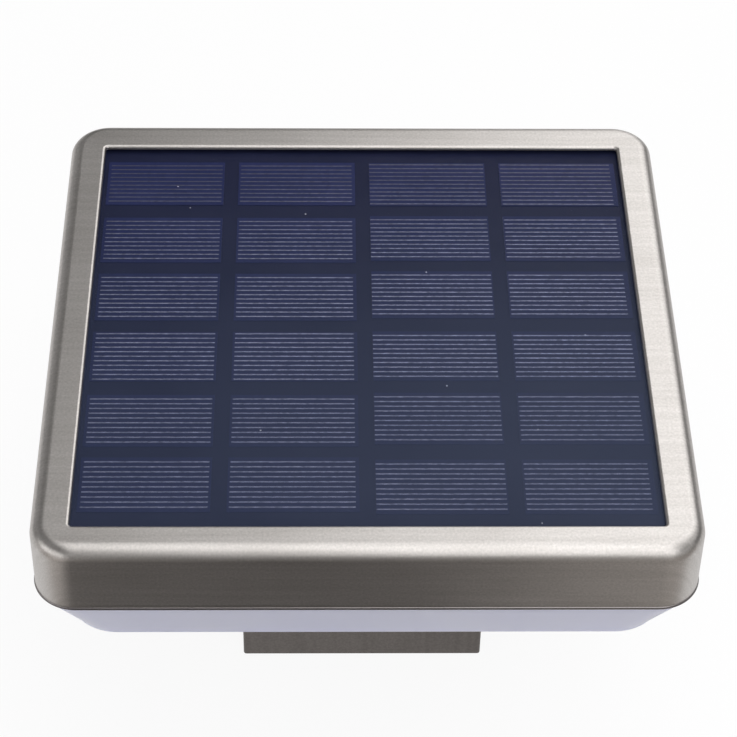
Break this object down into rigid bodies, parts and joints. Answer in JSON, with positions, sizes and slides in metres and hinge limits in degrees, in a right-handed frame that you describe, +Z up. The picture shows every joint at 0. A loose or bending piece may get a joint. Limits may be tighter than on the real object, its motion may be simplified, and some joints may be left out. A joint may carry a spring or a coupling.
{
  "type": "solar lawn light",
  "caption": "Square stainless lawn light: solar panel on top, opal diffuser below, short square stem with a bolt-down foot, push switch and hinged battery door underneath.",
  "frame": {"origin": "centre of the stem's bottom end, at ground level", "axes": "+Z up, -Y the front that the picture shows, +X to the viewer's right, the side of the power switch"},
  "size_m": [0.2006, 0.2006, 0.1185],
  "materials": {
    "brushed_stainless": "fine brushed",
    "stem_steel": "brushed, darker",
    "plain_steel": "zinc plated",
    "screw_steel": "bright",
    "panel_resin": "clear, satin",
    "solar_cell": "blue coated silicon",
    "panel_back": "dark blue laminate",
    "opal_plastic": "opal, satin",
    "white_plastic": "white, glossy",
    "black_plastic": "fine texture",
    "grey_plastic": "moulded",
    "ivory_plastic": "moulded",
    "foam": "closed-cell foam",
    "black_rubber": "matte",
    "circuit_green": "solder mask",
    "circuit_white": "solder mask",
    "lamp_yellow": "phosphor under clear resin",
    "chip_black": "moulded",
    "ferrite": "matte",
    "capacitor_sleeve": "shrink sleeve",
    "battery_sleeve": "shrink sleeve",
    "contact_metal": "nickel plated",
    "terminal_brass": "tinned brass",
    "wire_red": "wire insulation",
    "wire_black": "wire insulation",
    "switch_metal": "satin nickel"
  },
  "bodies": {
    "stem": {"stem_tube": "stem_steel", "foot_plate": "plain_steel", "foot_pad": "black_rubber"},
    "head": {"top_cover": "brushed_stainless", "cover_brackets": "plain_steel", "panel_tape": "foam", "panel_resin": "panel_resin", "solar_cells": "solar_cell", "panel_board": "panel_back", "panel_terminals": "terminal_brass", "inner_tray": "grey_plastic", "wire_grommet": "black_rubber", "cover_screws": "screw_steel", "rim_seal": "foam", "diffuser": "opal_plastic", "reflector": "white_plastic", "led_board": "circuit_white", "leds": "lamp_yellow", "led_board_screws": "screw_steel", "control_board": "circuit_green", "board_screws": "screw_steel", "control_chips": "chip_black", "inductor": "ferrite", "capacitors": "capacitor_sleeve", "wire_connectors": "ivory_plastic", "battery_box": "black_plastic", "battery_cell": "battery_sleeve", "battery_spring": "contact_metal", "battery_contact": "contact_metal", "battery_lead_red": "wire_red", "battery_lead_black": "wire_black", "panel_lead_red": "wire_red", "panel_lead_black": "wire_black", "led_lead_red": "wire_red", "led_lead_black": "wire_black", "switch_lead_red": "wire_red", "switch_lead_black": "wire_black", "base_plate": "black_plastic", "base_seal": "foam", "base_screws": "screw_steel", "stem_adapter": "plain_steel", "clamp_nuts": "plain_steel", "clamp_screws": "screw_steel", "door_hinge_pin": "screw_steel", "switch_body": "switch_metal", "switch_seal": "black_rubber", "switch_nut": "screw_steel", "switch_terminals": "terminal_brass", "stem_seal": "black_rubber"},
    "door": {"battery_door": "black_plastic", "door_seal": "foam"},
    "lock": {"door_lock": "switch_metal"},
    "button": {"power_button": "black_rubber"}
  },
  "joints": [
    {"name": "head_lift", "type": "slide", "parent": "stem", "child": "head", "axis": [0, 0, 1], "range_m": [0, 0.06]},
    {"name": "door_hinge", "type": "hinge", "parent": "head", "child": "door", "pos_m": [0, 0.0695, 0.0664], "axis": [1, 0, 0], "range_deg": [0, 105]},
    {"name": "lock_turn", "type": "hinge", "parent": "door", "child": "lock", "pos_m": [0.0459, 0.0545, 0.0669], "axis": [0, 0, 1], "range_deg": [0, 90]},
    {"name": "button_press", "type": "slide", "parent": "head", "child": "button", "axis": [0, 0, 1], "range_m": [0, 0.0015], "stiffness_N_per_m": 600, "springref_m": -0.0005}
  ]
}
